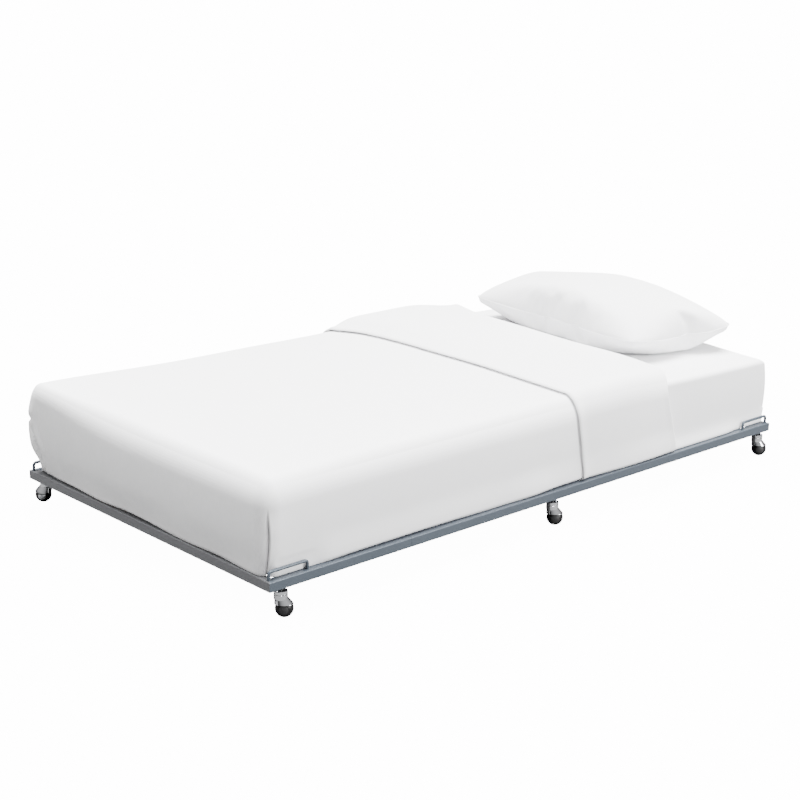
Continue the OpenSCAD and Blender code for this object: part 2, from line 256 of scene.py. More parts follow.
def closed_cord(name, places, radius, roundness, material):
    """Round cord that runs through places and closes on itself."""
    curve = bpy.data.curves.new(name, "CURVE")
    curve.dimensions = "3D"
    curve.bevel_depth = radius
    curve.bevel_resolution = roundness
    line = curve.splines.new("POLY")
    line.points.add(len(places) - 1)
    for point, place in zip(line.points, places):
        point.co = (*place, 1)
    line.use_cyclic_u = True
    obj = bpy.data.objects.new(name, curve)
    bpy.context.collection.objects.link(obj)
    obj.data.materials.append(material)
    return obj


def apply_modifiers(obj):
    """Bakes the modifiers into the mesh."""
    graph = bpy.context.evaluated_depsgraph_get()
    mesh = bpy.data.meshes.new_from_object(obj.evaluated_get(graph), depsgraph=graph)
    obj.modifiers.clear()
    obj.data = mesh


# ---- materials ----

def linear(code):
    """Linear colour of an sRGB hex value."""
    values = [int(code[i:i + 2], 16) / 255 for i in (1, 3, 5)]
    return [v / 12.92 if v <= 0.04045 else ((v + 0.055) / 1.055) ** 2.4 for v in values] + [1.0]


def tinted(code, share):
    """Linear colour of an sRGB hex value, made lighter or darker by a share."""
    return [c * share for c in linear(code)[:3]] + [1.0]


def add(tree, kind, inputs=None, **settings):
    """Adds a node with its settings; an input that is a socket is linked, any other is a value."""
    made = tree.nodes.new(kind)
    for key, value in settings.items():
        setattr(made, key, value)
    for key, value in (inputs or {}).items():
        if isinstance(value, bpy.types.NodeSocket):
            tree.links.new(value, made.inputs[key])
        else:
            made.inputs[key].default_value = value
    return made


def start_material(name):
    """Empty material with its tree, object coordinates and shader."""
    material = bpy.data.materials.new(name)
    material.use_nodes = True
    tree = material.node_tree
    tree.nodes.clear()
    place = add(tree, "ShaderNodeTexCoord").outputs["Object"]
    shader = add(tree, "ShaderNodeBsdfPrincipled")
    add(tree, "ShaderNodeOutputMaterial", {"Surface": shader.outputs["BSDF"]})
    return material, tree, place, shader


def relief(tree, height, strength, depth, under=None):
    """Bump of a height socket, over another bump's normal if one is given; its normal."""
    inputs = {"Strength": strength, "Distance": depth, "Height": height}
    if under is not None:
        inputs["Normal"] = under
    return add(tree, "ShaderNodeBump", inputs).outputs["Normal"]


def link(tree, shader, **sockets):
    """Links sockets to the shader's inputs, by their names with _ for a space."""
    for key, socket in sockets.items():
        tree.links.new(socket, shader.inputs[key.replace("_", " ")])


def powder_coated_steel(code):
    """Silver-grey powder coat, baked on: even satin with a fine orange peel and faint cloudiness."""
    material, tree, place, shader = start_material("powder_coated_steel_baked")
    peel = add(tree, "ShaderNodeTexNoise", {"Vector": place, "Scale": 1 / (1.6 * MM), "Detail": 2.0})
    cloud = add(tree, "ShaderNodeTexNoise", {"Vector": place, "Scale": 1 / (60 * MM), "Detail": 3.0})
    tone = add(tree, "ShaderNodeMixRGB", {
        "Fac": cloud.outputs["Fac"],
        "Color1": tinted(code, 0.93), "Color2": tinted(code, 1.07)})
    rough = add(tree, "ShaderNodeMapRange", {"Value": cloud.outputs["Fac"], "To Min": 0.36, "To Max": 0.46})
    shader.inputs["Metallic"].default_value = 0.35
    link(tree, shader, Base_Color=tone.outputs["Color"], Roughness=rough.outputs["Result"],
         Normal=relief(tree, peel.outputs["Fac"], 0.25, 0.05 * MM))
    return material


def zinc_plated_steel():
    """Turned and pressed steel with bright zinc: soft streaks and a faint grain of crystals."""
    material, tree, place, shader = start_material("zinc_plated_steel_pressed")
    grain = add(tree, "ShaderNodeTexVoronoi", {"Vector": place, "Scale": 1 / (1.2 * MM)})
    streak = add(tree, "ShaderNodeTexNoise", {"Vector": place, "Scale": 1 / (4 * MM), "Detail": 4.0})
    tone = add(tree, "ShaderNodeMixRGB", {
        "Fac": streak.outputs["Fac"], "Color1": linear("#8C8F92"), "Color2": linear("#B4B7BA")})
    rough = add(tree, "ShaderNodeMapRange", {
        "Value": grain.outputs["Distance"], "To Min": 0.28, "To Max": 0.42})
    shader.inputs["Metallic"].default_value = 1.0
    link(tree, shader, Base_Color=tone.outputs["Color"], Roughness=rough.outputs["Result"])
    return material


def chromed_zinc(code):
    """Die-cast zinc, polished and chrome-plated: a mirror with faint ripples left by the polishing."""
    material, tree, place, shader = start_material("chrome_plated_zinc_polished")
    ripple = add(tree, "ShaderNodeTexNoise", {"Vector": place, "Scale": 1 / (7 * MM), "Detail": 2.0})
    haze = add(tree, "ShaderNodeMapRange", {"Value": ripple.outputs["Fac"], "To Min": 0.03, "To Max": 0.08})
    tone = add(tree, "ShaderNodeMixRGB", {
        "Fac": ripple.outputs["Fac"], "Color1": tinted(code, 0.95), "Color2": linear(code)})
    shader.inputs["Metallic"].default_value = 1.0
    link(tree, shader, Base_Color=tone.outputs["Color"], Roughness=haze.outputs["Result"],
         Normal=relief(tree, ripple.outputs["Fac"], 0.2, 0.15 * MM))
    return material


def moulded_rubber(code):
    """Hard black rubber, moulded: dark satin with fine scuffs where it rolls."""
    material, tree, place, shader = start_material("hard_rubber_moulded")
    scuff = add(tree, "ShaderNodeTexNoise", {"Vector": place, "Scale": 1 / (2.5 * MM), "Detail": 5.0})
    tone = add(tree, "ShaderNodeMixRGB", {
        "Fac": scuff.outputs["Fac"], "Color1": linear(code), "Color2": tinted(code, 2.2)})
    rough = add(tree, "ShaderNodeMapRange", {"Value": scuff.outputs["Fac"], "To Min": 0.28, "To Max": 0.5})
    shader.inputs["Specular IOR Level"].default_value = 0.25
    link(tree, shader, Base_Color=tone.outputs["Color"], Roughness=rough.outputs["Result"],
         Normal=relief(tree, scuff.outputs["Fac"], 0.2, 0.05 * MM))
    return material


def moulded_nylon():
    """Black nylon, moulded: dull with a faint mottling."""
    material, tree, place, shader = start_material("nylon_moulded")
    mottle = add(tree, "ShaderNodeTexNoise", {"Vector": place, "Scale": 1 / (3 * MM)})
    tone = add(tree, "ShaderNodeMixRGB", {
        "Fac": mottle.outputs["Fac"], "Color1": linear("#161617"), "Color2": linear("#242426")})
    shader.inputs["Roughness"].default_value = 0.6
    link(tree, shader, Base_Color=tone.outputs["Color"])
    return material


def woven(name, code, thread, depth, shade=0.03):
    """Plain-woven cotton: threads over and under in both directions, with a soft fuzz that
    catches light at the edges. The threads are drawn a few times coarser than real ones,
    which are too fine to show."""
    material, tree, place, shader = start_material(name)
    turns = math.pi / thread
    across = add(tree, "ShaderNodeSeparateXYZ", {"Vector": place})
    ribs = []
    for axis in "XYZ":
        angle = add(tree, "ShaderNodeMath", {0: across.outputs[axis], 1: turns}, operation="MULTIPLY")
        ribs.append(add(tree, "ShaderNodeMath", {0: angle.outputs[0]}, operation="SINE").outputs[0])
    pair = add(tree, "ShaderNodeMath", {0: ribs[0], 1: ribs[1]}, operation="ADD").outputs[0]
    weave = add(tree, "ShaderNodeMath", {0: pair, 1: ribs[2]}, operation="ADD").outputs[0]
    slub = add(tree, "ShaderNodeTexNoise", {"Vector": place, "Scale": 1 / (25 * MM), "Detail": 4.0})
    tone = add(tree, "ShaderNodeMixRGB", {
        "Fac": slub.outputs["Fac"],
        "Color1": tinted(code, 1 - shade), "Color2": linear(code)})
    soft = add(tree, "ShaderNodeTexNoise", {"Vector": place, "Scale": 1 / (110 * MM), "Detail": 3.0})
    crumple = relief(tree, soft.outputs["Fac"], 0.25, 1.2 * MM, relief(tree, weave, 0.3, depth))
    shader.inputs["Roughness"].default_value = 0.85
    shader.inputs["Sheen Weight"].default_value = 0.15
    shader.inputs["Sheen Roughness"].default_value = 0.5
    link(tree, shader, Base_Color=tone.outputs["Color"], Normal=crumple)
    return material


def dress(nodes, material):
    """Gives CAD nodes a material on every slot."""
    for name in nodes:
        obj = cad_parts[name]
        if not obj.material_slots:
            obj.data.materials.append(material)
        for slot in obj.material_slots:
            slot.material = material


def cotton():
    """The one white cotton of all the bedding."""
    made = bpy.data.materials.get("cotton_percale_woven")
    return made or woven("cotton_percale_woven", bpy.context.scene.bed_finish.cotton, 1.2 * MM, 0.08 * MM)


# ---- frame ----

class BED_OT_frame(bpy.types.Operator):
    """Powder-coat the rails, slats and stops, and plate the hardware in zinc"""
    bl_idname = "bed.frame"
    bl_label = "Steel frame"

    def execute(self, context):
        finish = context.scene.bed_finish
        coat = powder_coated_steel(finish.powder_coat)
        zinc = zinc_plated_steel()
        coated = [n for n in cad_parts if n.startswith(("side_rail", "slat_", "mattress_stop"))]
        dress(coated, coat)
        # painted light: the foot and head rails get a lighter, more neutral copy of the same coat, for the
        # different light on the foot side
        dress(["foot_rail", "head_rail"], powder_coated_steel(finish.end_coat_painted_light))
        sleeves = [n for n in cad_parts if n.startswith("rail_sleeve")]
        dress(sleeves + ["joint_bolts", "joint_nuts", "caster_sockets", "caster_stems"], zinc)
        return {"FINISHED"}


class BED_OT_casters(bpy.types.Operator):
    """Plate the caster hoods, and mould the ball wheels in rubber and their caps in nylon"""
    bl_idname = "bed.casters"
    bl_label = "Ball casters"

    def execute(self, context):
        finish = context.scene.bed_finish
        dress([f"caster_hood_{c}" for c in CASTERS], chromed_zinc(finish.chrome))
        dress([f"ball_wheel_{c}" for c in CASTERS], moulded_rubber(finish.rubber))
        dress([f"wheel_axle_{c}" for c in CASTERS], zinc_plated_steel())
        dress([f"hub_cap_{c}" for c in CASTERS] + ["swivel_washers"], moulded_nylon())
        return {"FINISHED"}


# ---- bedding ----

def taped_edge(name, low, high, z, tape_r, material):
    """Tape bound round the mattress at a height, with round corners."""
    corner_r = 24 * MM
    ring = []
    for sx, sy, start in ((1, 1, 0), (-1, 1, 90), (-1, -1, 180), (1, -1, 270)):
        cx = (high[0] if sx > 0 else low[0]) - sx * corner_r
        cy = (high[1] if sy > 0 else low[1]) - sy * corner_r
        for step in range(7):
            a = math.radians(start + 15 * step)
            ring.append((cx + corner_r * math.cos(a), cy + corner_r * math.sin(a), z))
    tape = closed_cord(name, settle(np.array(ring)), tape_r, 4, material)
    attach(tape, "bedding")


class BED_OT_mattress(bpy.types.Operator):
    """Make the foam mattress in its knitted, quilted ticking, with taped edges"""
    bl_idname = "bed.mattress"
    bl_label = "Mattress"

    def execute(self, context):
        ticking = woven("knitted_ticking_quilted", "#E9E7E1", 1.6 * MM, 0.12 * MM, 0.06)
        tape_r = 4 * MM
        edge_r, corner_more = 18 * MM, 30 * MM
        groove, pitch = 3 * MM, 110 * MM
        inset = np.array([tape_r + 2 * MM] * 2 + [1 * MM])
        low, high = BED_LOW + inset, BED_HIGH - inset
        steps = [spaced(low[i], high[i], 25 * MM, 8 * MM, 30 * MM) for i in range(3)]
        points, quads, _ = box_skin(*steps, ("top", "under", "near", "far", "foot", "head"))
        soft = np.full(points.shape, edge_r)
        soft[:, :2] += corner_more * at_foot_corners(points)[:, None]
        points, out = rounded(points, low, high, soft)
        # quilted diamonds over the two faces
        quilt = np.abs(np.sin((points[:, 0] + points[:, 1]) * math.pi / pitch))
        quilt = np.minimum(quilt, np.abs(np.sin((points[:, 0] - points[:, 1]) * math.pi / pitch)))
        points -= out * (groove * (1 - ramp(quilt, 0, 0.5)) * np.abs(out[:, 2]) ** 4)[:, None]
        points = settle(points)
        pad = mesh_object("mattress_pad", points, quads, ticking)
        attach(pad, "bedding")
        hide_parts("mattress")
        # tape bound round the top and the bottom edge
        tape = woven("cotton_tape_woven", "#DAD7CF", 1.2 * MM, 0.1 * MM)
        tape_in = 13 * MM
        taped_edge("mattress_tape_lower", low, high, low[2] + tape_in, tape_r, tape)
        taped_edge("mattress_tape_upper", low, high, high[2] - tape_in, tape_r, tape)
        return {"FINISHED"}


def at_foot_corners(points):
    """1 at the bed's corners at the foot, where the duvet's folds press in, falling to 0 around them."""
    x, y = points[:, 0], np.abs(points[:, 1])
    return bump(np.hypot(x - BED_LOW[0], y - BED_HIGH[1]), 0.12)


def clear_of_stops(x):
    """1 along the middle of the bed, falling to 0 beside the mattress stops."""
    return 1 - ramp(np.abs(x), STOP_START - 70 * MM, STOP_START - 15 * MM)


def settle(points):
    """Mattress and sheet points lowered a little towards the corners at the head."""
    x, y, z = points.T
    low = ramp(x, 0.42, BED_HIGH[0]) * (0.1 + 0.9 * ramp(np.abs(y), 0.15, BED_HIGH[1]))
    points[:, 2] -= 13 * MM * low * ramp(z, 0.2, BED_HIGH[2])
    return points


def lap_bottom(points, flat, low, amount):
    """Points whose lowest edge along both sides is moved out over the rail by an amount."""
    edge = ramp(np.abs(flat[:, 1]), BED_HIGH[1] - 45 * MM, BED_HIGH[1] - 2 * MM)
    points[:, 1] += np.sign(flat[:, 1]) * amount * edge * bump(flat[:, 2] - low[2], 26 * MM)
    return points


def beside_stops(points):
    """Points near the bed's corners kept inside the mattress stops, and freer higher up."""
    x, y, z = points.T
    limit = STOP_INSIDE + 28 * MM * ramp(z, STOP_TOP + 4 * MM, STOP_TOP + 90 * MM)
    limit = limit + 60 * MM * (1 - ramp(np.abs(x), STOP_START - 90 * MM, STOP_START - 10 * MM))
    points[:, 1] = np.clip(y, -limit, limit)
    return points


class BED_OT_fitted_sheet(bpy.types.Operator):
    """Stretch the fitted sheet over the mattress and under its edge"""
    bl_idname = "bed.fitted_sheet"
    bl_label = "Fitted sheet"

    def execute(self, context):
        settings = context.scene.bed
        low, high = SHEET_LOW + [3 * MM, 0, 0], SHEET_HIGH.copy()
        tuck = 90 * MM
        low_edge, low_reach, corner_more = 5 * MM, 40 * MM, 47 * MM
        steps = [spaced(low[i], high[i], 16 * MM, 4 * MM, 36 * MM) for i in range(3)]
        flat, quads, _ = box_skin(*steps, ("top", "under", "near", "far", "foot", "head"))
        soft = np.full(flat.shape, settings.sheet_edge)
        soft[flat[:, 2] < low[2] + low_reach] = low_edge
        soft[:, :2] += corner_more * at_foot_corners(flat)[:, None]
        points, out = rounded(flat, low, high, soft)
        # the top rises a little to its middle, and the sides belly out, most of all at the head
        rise = 1 - (2 * flat[:, 1] / (high[1] - low[1])) ** 2
        points[:, 2] += 4 * MM * rise * (out[:, 2] > 0.5)
        side = 1 - np.abs(out[:, 2])
        height = (flat[:, 2] - low[2]) / (high[2] - low[2])
        level = out * np.array([1, 1, 0])
        belly = np.sin(np.clip(height, 0, 1) * math.pi)
        ends = ramp(np.abs(out[:, 0]), 0.5, 1)
        at_head = ends * (flat[:, 0] > 0) * ramp(height, 0.03, 0.2)
        points += level * (side * (belly * (4 + 5 * ends) + 8 * at_head) * MM)[:, None]
        points += out * (waves(flat, 0.35, 11) * 1.2 * MM * side)[:, None]
        # where no duvet covers it, the cloth lies out over the rail low down
        bare = ramp(flat[:, 0], DUVET_HIGH[0] - 80 * MM, DUVET_HIGH[0] - 20 * MM)
        points = lap_bottom(points, flat, low, bare * (8 + 6 * clear_of_stops(flat[:, 0])) * MM)
        points = settle(points)
        points = beside_stops(points)
        # of the underside, only the part that turns under along the edge, held by its elastic, is kept
        edge = np.minimum(high[0] - np.abs(flat[:, 0]), high[1] - np.abs(flat[:, 1]))
        bottom = low[2] + 1e-6
        used = [q for q in quads if max(flat[i][2] for i in q) > bottom or min(edge[i] for i in q) <= tuck]
        keep = sorted({i for q in used for i in q})
        number = {old: new for new, old in enumerate(keep)}
        used = [[number[i] for i in q] for q in used]
        points, out = points[keep], out[keep]
        solid, faces = shell(points, points - out * (1.0 * MM), used)
        sheet = mesh_object("fitted_sheet_cotton", solid, faces, cotton())
        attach(sheet, "bedding")
        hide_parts("fitted_sheet")
        return {"FINISHED"}


# Thickness of the duvet on its sides and on its top
SIDE_T, TOP_T = 8 * MM, 20 * MM


def duvet_folds(flat, out, low, high):
    """How far the duvet's surface stands out of its plain rounded form, in metres."""
    belly, line = 6 * MM, 3 * MM
    x, y, z = flat.T
    foot, near, far = low[0], low[1], high[1]
    drop = (high[2] - z) / (high[2] - low[2])
    side = 1 - np.abs(out[:, 2])
    # sides belly out between the top edge and the tucked bottom
    lift = side * np.sin(np.clip(drop, 0, 1) * math.pi) * belly
    # near corner at the foot: a crease where the two flaps meet, bowed towards the side
    across = (x - foot) - (y - near)
    bow = 13 * MM * np.sin(np.clip((drop - 0.2) / 0.8, 0, 1) * math.pi)
    at_corner = bump(np.maximum(x - foot, y - near), 80 * MM) * ramp(drop, 0.3, 0.52)
    past = across - bow
    behind, before = np.maximum(-past, 0), np.maximum(past, 0)
    lift -= at_corner * np.exp(-behind / line) * (1 - ramp(before, 0, line)) * 25 * MM
    lip = ramp(before, 0, 4 * MM) * np.exp(-before / (30 * MM))
    lift += at_corner * lip * ramp(z, 0.1, 0.16) * 5 * MM
    # far corner at the foot: a loose gathered flap, with a crease that runs down behind it
    gather = (x - foot) - (far - y)
    at_far = bump(np.maximum(x - foot, far - y), 110 * MM)
    at_far = at_far * ramp(drop, 0.05, 0.35) * ramp(1 - drop, 0.0, 0.5)
    crease = gather + 8 * MM + 36 * MM * ramp(drop, 0.4, 0.75)
    lift += at_far * bump(gather - 16 * MM, 26 * MM) * 13 * MM
    lift -= at_far * np.exp(-np.abs(crease) / (4 * MM)) * ramp(drop, 0.3, 0.45) * 17 * MM
    lift += at_far * bump(crease + 16 * MM, 12 * MM) * 5 * MM
    lift -= at_far * np.exp(-np.abs(gather - 58 * MM) / (6 * MM)) * 14 * MM
    lift += at_far * bump(gather - 80 * MM, 16 * MM) * 6 * MM
    pinch = bump(drop - 0.38 - gather * 1.2, 0.022) * bump(gather - 10 * MM, 30 * MM)
    lift -= at_far * pinch * 8 * MM
    return lift


def lap_over_rail(x):
    """How far the bottom of the sides lies out over the rail along the bed, in metres."""
    lap = 7 + bump(x + 0.08, 0.07) * 5 + bump(x - 0.42, 0.08) * 4 - bump(x - 0.19, 0.08) * 3
    return lap * MM * clear_of_stops(x)


def duvet_edges(points, flat, out, low, to_far):
    """Points with the bottom of the sides laid out over the rail and the foot's bottom wavering
    behind its rail, the far corner drawn in, and the very edge turned under."""
    level = out * np.array([1, 1, 0])
    near_rail = 1 - ramp(flat[:, 2], low[2] + 6 * MM, low[2] + 80 * MM)
    sides = ramp(np.abs(out[:, 1]), 0.3, 0.9)
    points += level * (sides * near_rail * lap_over_rail(flat[:, 0]))[:, None]
    at_foot = ramp(-out[:, 0], 0.3, 0.9)
    waver = (5 + 2.5 * waves(flat, 0.16, 21)) * MM
    points -= level * (at_foot * near_rail * waver)[:, None]
    corner_in = bump(to_far, 70 * MM) * near_rail * 12 * MM
    points -= level * corner_in[:, None]
    under = 1 - ramp(flat[:, 2], low[2], low[2] + 9 * MM)
    under = under * np.maximum(at_foot, clear_of_stops(flat[:, 0]))
    points -= level * (under * (7 + 4 * waves(flat, 0.3, 8)) * MM)[:, None]
    return points


def slanted(points, low, high, hem):
    """Points moved along the bed, so that the fold lies further up the bed on the far side and is
    drawn back at the near edge, and the hem bends a little at both edges."""
    fold = high[0]
    x, y, z = points.T.copy()
    side_low = ramp(high[2] - z, 30 * MM, high[2] - low[2])
    near_edge = np.exp(-(y - low[1]).clip(0) / (50 * MM))
    far_edge = ramp(y, 0.34, high[1])
    to_fold = 32 * MM + 0.075 * y - near_edge * (35 - 45 * side_low) * MM + 26 * MM * far_edge
    to_hem = -15 * MM + near_edge * (3 + 30 * side_low) * MM - far_edge * 38 * MM
    share = (x - hem) / (fold - hem)
    points[:, 0] += to_fold * np.clip(share, 0, 1.05) + to_hem * (1 - np.clip(np.abs(share), 0, 1))
    return points


def turned_band(points, out, thick, xs, hem, far, loop):
    """Rows of the turned-down band, each a loop across the bed: first round the fold, and then
    back over the duvet to the hem. Gives the rows of its lower and of its upper skin."""
    nx, fold = len(xs) - 1, xs[-1]
    gap, hem_lift, hem_r, band_top_t = 1.2 * MM, 4 * MM, 7 * MM, 15 * MM
    rows_p, rows_q = [], []
    base = points[loop(nx)]
    way = out[loop(nx)]
    band_side_t = SIDE_T * 0.6
    band_t = (band_side_t + (band_top_t - band_side_t) * np.clip(way[:, 2], 0, 1))[:, None]
    ahead = np.array([1.0, 0, 0])
    for a in range(1, 6):
        phi = math.pi * a / 5
        p = base + ahead * gap * math.sin(phi) + way * gap * (1 - math.cos(phi))
        t = thick[loop(nx)][:, None] * (1 - a / 5) + 0.55 * band_t * (a / 5)
        rows_p.append(p)
        rows_q.append(p + (ahead * math.sin(phi) - way * math.cos(phi)) * t)
    far_side = ramp(base[:, 1], -0.3, far)[:, None]
    for i in [i for i in range(nx - 1, -1, -1) if xs[i] > hem]:
        back = xs[i] - hem
        p = points[loop(i)] + way * (2 * gap + hem_lift * (1 - ramp(back, 0, 30 * MM)))
        edge = math.sqrt(1 - (1 - min(back / hem_r, 1)) ** 2)
        swell = 0.42 + 0.58 * ramp(back, 0, 95 * MM) - 0.45 * ramp(xs[i], fold - 190 * MM, fold)
        ripple = waves(p, 0.3, 5)[:, None] * 1.5 * MM * ramp(back, 0, 60 * MM)
        loose = ramp(back, 0, 70 * MM) * (1 - ramp(xs[i], fold - 150 * MM, fold))
        puff = far_side * 13 * MM * loose * np.clip(way[:, 2:], 0, 1)
        rows_p.append(p)
        rows_q.append(p + way * (band_t * edge * swell + ripple + puff))
    return rows_p, rows_q


class BED_OT_duvet(bpy.types.Operator):
    """Lay the duvet over the foot of the bed, tuck it in and fold its top back"""
    bl_idname = "bed.duvet"
    bl_label = "Duvet"

    def execute(self, context):
        settings = context.scene.bed
        band, beyond_sheet, above_sheet, nearer_rail = 408 * MM, 10 * MM, 24 * MM, 0.6 * MM
        fold = DUVET_HIGH[0]
        hem = fold - band
        low = np.array([DUVET_LOW[0], SHEET_LOW[1] - beyond_sheet, DUVET_LOW[2] - nearer_rail])
        high = np.array([fold, SHEET_HIGH[1] + beyond_sheet, SHEET_HIGH[2] + above_sheet])
        xs = spaced(low[0], high[0], 12 * MM, 1.8 * MM, 55 * MM, (True, False))
        ys = spaced(low[1], high[1], 12 * MM, 1.8 * MM, 55 * MM)
        zs = spaced(low[2], high[2], 9 * MM, 3 * MM, 40 * MM)
        flat, quads, index = box_skin(xs, ys, zs, ("top", "near", "far", "foot"))
        # only the top edges and the foot's corners are round, and the far corner stands up square
        box_low = low - np.array([0, 0, 1.0])
        box_high = high + np.array([1.0, 0, 0])
        to_far = np.hypot(flat[:, 0] - low[0], flat[:, 1] - high[1])
        soft = settings.duvet_edge * (1 - 0.45 * bump(to_far, 0.25))
        points, out = rounded(flat, box_low, box_high, np.stack([soft * 0.7, soft * 0.7, soft], axis=1))
        across = np.abs(2 * flat[:, 1] / (high[1] - low[1]))
        along = (flat[:, 0] - low[0]) / (high[0] - low[0])
        upper = ramp(flat[:, 2], low[2] + 0.05, high[2])
        # it rises to its middle and towards its far side, and thins towards the fold
        crown = settings.duvet_crown * (1 - across ** 3) * ramp(along, -0.05, 0.22)
        crown += 9 * MM * bump(to_far, 0.3) + 5 * MM * ramp(flat[:, 1], 0, high[1])
        points[:, 2] += crown * upper
        thin = ramp(flat[:, 0], fold - 190 * MM, fold + 20 * MM)
        points[:, 2] -= thin * (7 + 9 * (1 - across ** 3)) * MM * upper
        points += out * duvet_folds(flat, out, low, high)[:, None]
        ease = settings.duvet_ease * (0.35 + 0.65 * ramp(flat[:, 2], low[2], low[2] + 90 * MM))
        points += out * (waves(flat, 0.5, 3) * ease)[:, None]
        points = beside_stops(duvet_edges(points, flat, out, low, to_far))
        thick = SIDE_T + (TOP_T - SIDE_T - 9 * MM * thin) * np.clip(out[:, 2], 0, 1)
        inner = points - out * thick[:, None]
        points, inner = (slanted(p, low, high, hem) for p in (points, inner))
        nx, ny, nz = len(xs) - 1, len(ys) - 1, len(zs) - 1

        def loop(i):
            """Points across the bed at one step along it, from the near rail to the far one."""
            ring = [(i, 0, k) for k in range(nz + 1)]
            ring += [(i, j, nz) for j in range(1, ny)]
            ring += [(i, ny, k) for k in range(nz, -1, -1)]
            return [index[p] for p in ring]

        previous = loop(nx)
        rows_p, rows_q = turned_band(points, out, thick, xs, hem, high[1], loop)
        width, first = len(previous), len(points)
        all_p = np.vstack([points] + rows_p)
        all_q = np.vstack([inner] + rows_q)
        for r in range(len(rows_p)):
            current = [first + r * width + c for c in range(width)]
            for c in range(width - 1):
                quads.append([previous[c], current[c], current[c + 1], previous[c + 1]])
            previous = current
        solid, faces = shell(all_p, all_q, quads)
        duvet = mesh_object("duvet_cover", solid, faces, cotton())
        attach(duvet, "bedding")
        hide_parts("duvet")
        return {"FINISHED"}


def pillow_envelope(length, width, step, height):
    """Two flat panels sewn together round their outline, a little apart in the middle."""
    n, m = int(length / step), int(width / step)
    x = np.linspace(-length / 2, length / 2, n + 1)
    y = np.linspace(-width / 2, width / 2, m + 1)
    grid_x, grid_y = np.meshgrid(x, y, indexing="ij")
    tips = 1 - 0.07 * np.abs(2 * grid_x / length) ** 6 * np.abs(2 * grid_y / width) ** 6
    grid_x, grid_y = grid_x * tips, grid_y * tips
    rise = ((1 - (2 * grid_x / length) ** 2) * (1 - (2 * grid_y / width) ** 2)).clip(0) ** 0.5 * height / 2
    top = np.stack([grid_x, grid_y, rise], axis=-1).reshape(-1, 3)
    number = np.arange((n + 1) * (m + 1)).reshape(n + 1, m + 1)
    inside = np.zeros((n + 1, m + 1), bool)
    inside[1:-1, 1:-1] = True
    lower = number.copy()
    lower[inside] = len(top) + np.arange(inside.sum())
    points = np.vstack([top, (top * [1, 1, -1])[inside.reshape(-1)]])
    faces = []
    for i in range(n):
        for j in range(m):
            ring = ((i, j), (i + 1, j), (i + 1, j + 1), (i, j + 1))
            faces.append([int(number[c]) for c in ring])
            faces.append([int(lower[c]) for c in reversed(ring)])
    seam = [(i, 0) for i in range(n)] + [(n, j) for j in range(m)]
    seam += [(i, m) for i in range(n, 0, -1)] + [(0, j) for j in range(m, 0, -1)]
    return points, faces, [int(number[c]) for c in seam]


def positions(mesh):
    """Vertex places of a mesh, as an array."""
    co = np.empty(len(mesh.vertices) * 3)
    mesh.vertices.foreach_get("co", co)
    return co.reshape(-1, 3)


class BED_OT_pillow(bpy.types.Operator):
    """Fill the pillow in its case and lay it at the head"""
    bl_idname = "bed.pillow"
    bl_label = "Pillow"

    def execute(self, context):
        settings = context.scene.bed
        case = np.array([500, 820]) * MM
        filled = np.array([430, 745, 208]) * MM
        points, faces, seam = pillow_envelope(*case, 12.5 * MM, 100 * MM)
        pillow = mesh_object("pillow_case", points, faces, cotton())
        # the filling pushes the panels apart and draws the seams in
        cloth = pillow.modifiers.new("filling", "CLOTH")
        cloth.settings.quality = 6
        cloth.settings.use_pressure = True
        cloth.settings.uniform_pressure_force = settings.pillow_puff
        cloth.settings.bending_stiffness = 2
        cloth.settings.effector_weights.gravity = 0
        cloth.point_cache.frame_end = PILLOW_FRAMES
        for step in range(1, PILLOW_FRAMES + 1):
            context.scene.frame_set(step)
        apply_modifiers(pillow)
        context.scene.frame_set(1)
        co = positions(pillow.data)
        co -= (co.min(0) + co.max(0)) / 2
        co *= filled / (co.max(0) - co.min(0))
        # the filling fattens the upper panel towards its seams, and thins the lower one
        top = co[:, 2].max()
        full = np.where(co[:, 2] > 0, 0.78, 1.15)
        co[:, 2] = np.sign(co[:, 2]) * top * (np.abs(co[:, 2]) / top) ** full
        # its own weight flattens it where it lies
        rest = -57 * MM
        soft = 6 * MM
        below = np.maximum(rest + soft - co[:, 2], 0)
        co[:, 2] = np.where(below > 0, rest + soft * np.exp(-below / soft), co[:, 2])
        co = co @ np.array(Matrix.Rotation(-settings.pillow_turn, 3, "Z")).T
        middle_y = (PILLOW_LOW[1] + PILLOW_HIGH[1]) / 2 - 8 * MM
        co += [PILLOW_LOW[0] + 226 * MM, middle_y, SHEET_HIGH[2] + 3 * MM - rest]
        # the head's far corner is pushed back from overhanging
        edge, give = FRAME_END + 30 * MM, 32 * MM
        over = np.maximum(co[:, 0] - edge, 0)
        co[:, 0] = np.minimum(co[:, 0], edge) + give * (1 - np.exp(-over / give))
        pillow.data.vertices.foreach_set("co", co.ravel())
        pillow.data.update()
        fine = pillow.modifiers.new("fine", "SUBSURF")
        fine.levels = fine.render_levels = 1
        apply_modifiers(pillow)
        pillow.data.shade_smooth()
        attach(pillow, "pillow")
        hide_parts("pillow")
        # a narrow piped seam joins the panels
        piping = closed_cord("pillow_seam", co[seam], 1.8 * MM, 2, cotton())
        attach(piping, "pillow")
        return {"FINISHED"}


# ---- stage ----

def studio_card(name, place, aim, size, power, colour="#FFFFFF"):
    """Soft rectangular light facing a point."""
    lamp = bpy.data.lights.new(name, "AREA")
    lamp.shape = "RECTANGLE"
    lamp.size, lamp.size_y = size
    lamp.energy = power
    lamp.color = linear(colour)[:3]
    obj = bpy.data.objects.new(name, lamp)
    obj.location = place
    obj.rotation_euler = (Vector(aim) - Vector(place)).to_track_quat("-Z", "Y").to_euler()
    bpy.context.collection.objects.link(obj)
    return obj


